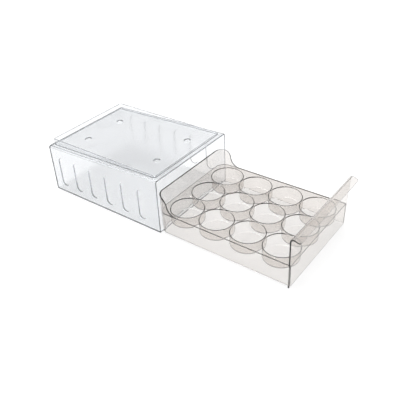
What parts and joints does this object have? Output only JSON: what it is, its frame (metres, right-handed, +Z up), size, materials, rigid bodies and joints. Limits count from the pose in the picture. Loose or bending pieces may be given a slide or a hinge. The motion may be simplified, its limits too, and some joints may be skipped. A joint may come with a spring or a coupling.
{
  "type": "egg holder tray",
  "caption": "Clear plastic fridge egg holder: a drawer of round egg cups with a curled handle lip, sliding in a low box housing that has a stacking rim on top.",
  "frame": {"origin": "on the surface that the object stands on, at the middle of its footprint with the drawer drawn out", "axes": "+X across the opening to the right as seen by the user, +Y from the handle to the back of the housing, +Z up"},
  "size_m": [0.176, 0.4614, 0.0942],
  "materials": {
    "clear_housing": "clear, polished injection-moulded plastic with a faint cool tint",
    "clear_drawer": "clear, polished injection-moulded plastic with a faint warm tint"
  },
  "bodies": {
    "housing": {"housing_floor": "clear_housing", "housing_left_wall": "clear_housing", "housing_right_wall": "clear_housing", "housing_back_wall": "clear_housing", "housing_top": "clear_housing", "housing_stacking_rim": "clear_housing"},
    "drawer": {"drawer_front_panel": "clear_drawer", "drawer_handle_lip": "clear_drawer", "drawer_deck": "clear_drawer", "drawer_left_wall": "clear_drawer", "drawer_right_wall": "clear_drawer", "drawer_rear_wall": "clear_drawer", "egg_cup_row1_col1": "clear_drawer", "egg_cup_row1_col2": "clear_drawer", "egg_cup_row1_col3": "clear_drawer", "egg_cup_row2_col1": "clear_drawer", "egg_cup_row2_col2": "clear_drawer", "egg_cup_row2_col3": "clear_drawer", "egg_cup_row3_col1": "clear_drawer", "egg_cup_row3_col2": "clear_drawer", "egg_cup_row3_col3": "clear_drawer", "egg_cup_row4_col1": "clear_drawer", "egg_cup_row4_col2": "clear_drawer", "egg_cup_row4_col3": "clear_drawer"}
  },
  "joints": [
    {"name": "drawer_slide", "type": "slide", "parent": "housing", "child": "drawer", "axis": [0, 1, 0], "range_m": [-0.006, 0.2159]}
  ]
}
